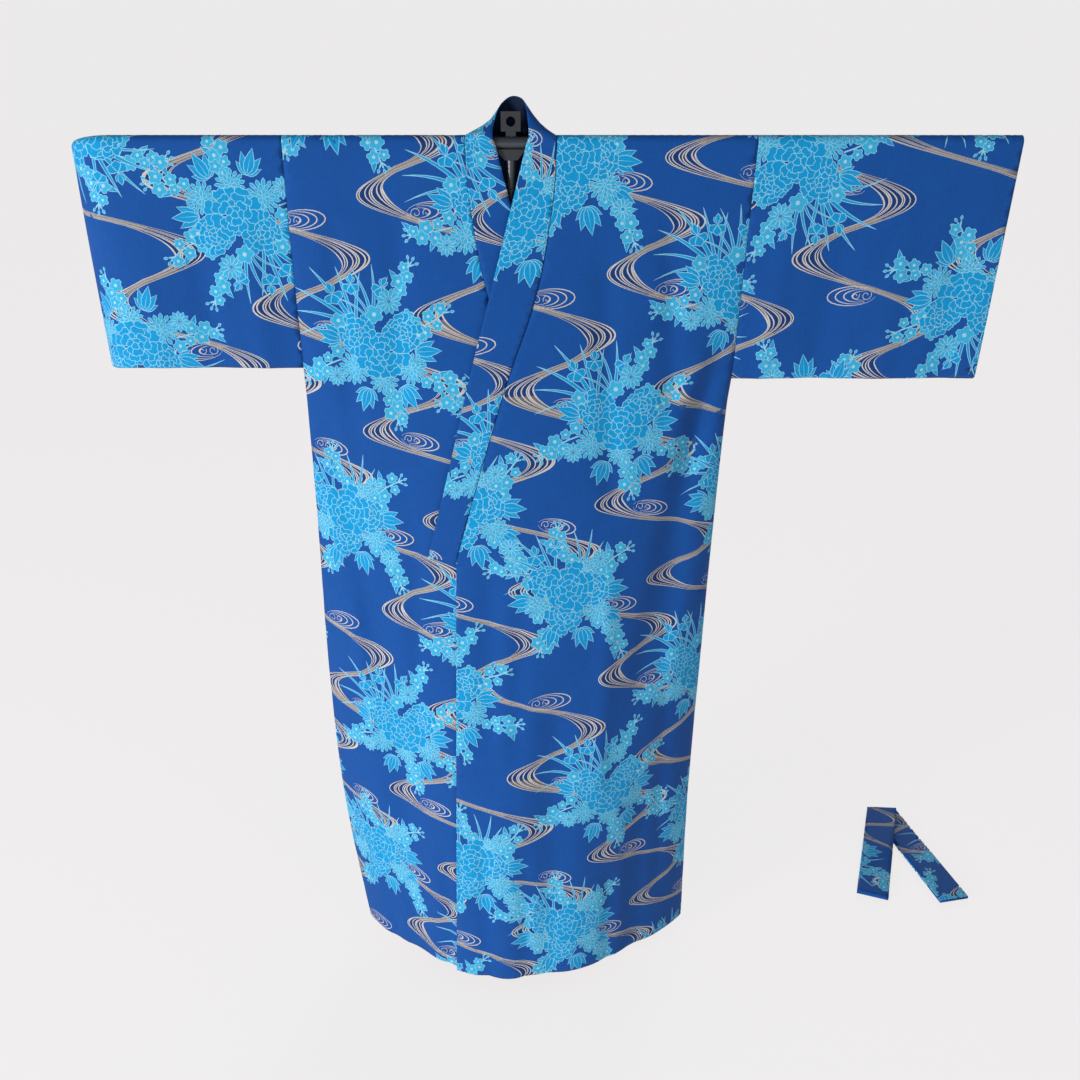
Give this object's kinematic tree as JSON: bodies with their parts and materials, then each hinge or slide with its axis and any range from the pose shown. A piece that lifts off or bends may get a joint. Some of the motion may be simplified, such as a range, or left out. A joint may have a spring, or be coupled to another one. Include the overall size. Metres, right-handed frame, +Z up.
{
  "type": "cotton yukata robe on a t-shaped display stand",
  "caption": "Hanging cotton yukata robe, open straight sleeves, wrapped fronts and collar band, on a T-shaped stand, with its belt folded on the floor.",
  "frame": {"origin": "on the floor, at the centre of the stand base's underside, under the pole", "axes": "+Z up along the pole, -Y out of the robe's front, +X towards the wearer's left sleeve, on the viewer's right"},
  "size_m": [1.5039, 0.5123, 1.4491],
  "materials": {
    "body_left": "plain-weave printed cotton, matt with a slight sheen",
    "body_right": "plain-weave printed cotton, matt with a slight sheen",
    "sleeve_left": "plain-weave printed cotton, matt with a slight sheen",
    "sleeve_right": "plain-weave printed cotton, matt with a slight sheen",
    "collar": "doubled printed cotton, pressed flat",
    "belt": "sewn sash of the same printed cotton, pressed flat",
    "grey_tube": "grey painted steel tube, satin",
    "dark_fitting": "dark moulded fitting, matt"
  },
  "bodies": {
    "root": {"body_left": "body_left", "body_right": "body_right", "sleeve_left": "sleeve_left", "sleeve_right": "sleeve_right", "collar": "collar", "belt": "belt", "stand_base": "dark_fitting", "lower_pole": "grey_tube", "pole_ring": "dark_fitting", "upper_tube": "grey_tube", "tee_fitting": "dark_fitting", "cross_rod": "grey_tube", "top_plate": "dark_fitting"}
  },
  "joints": []
}
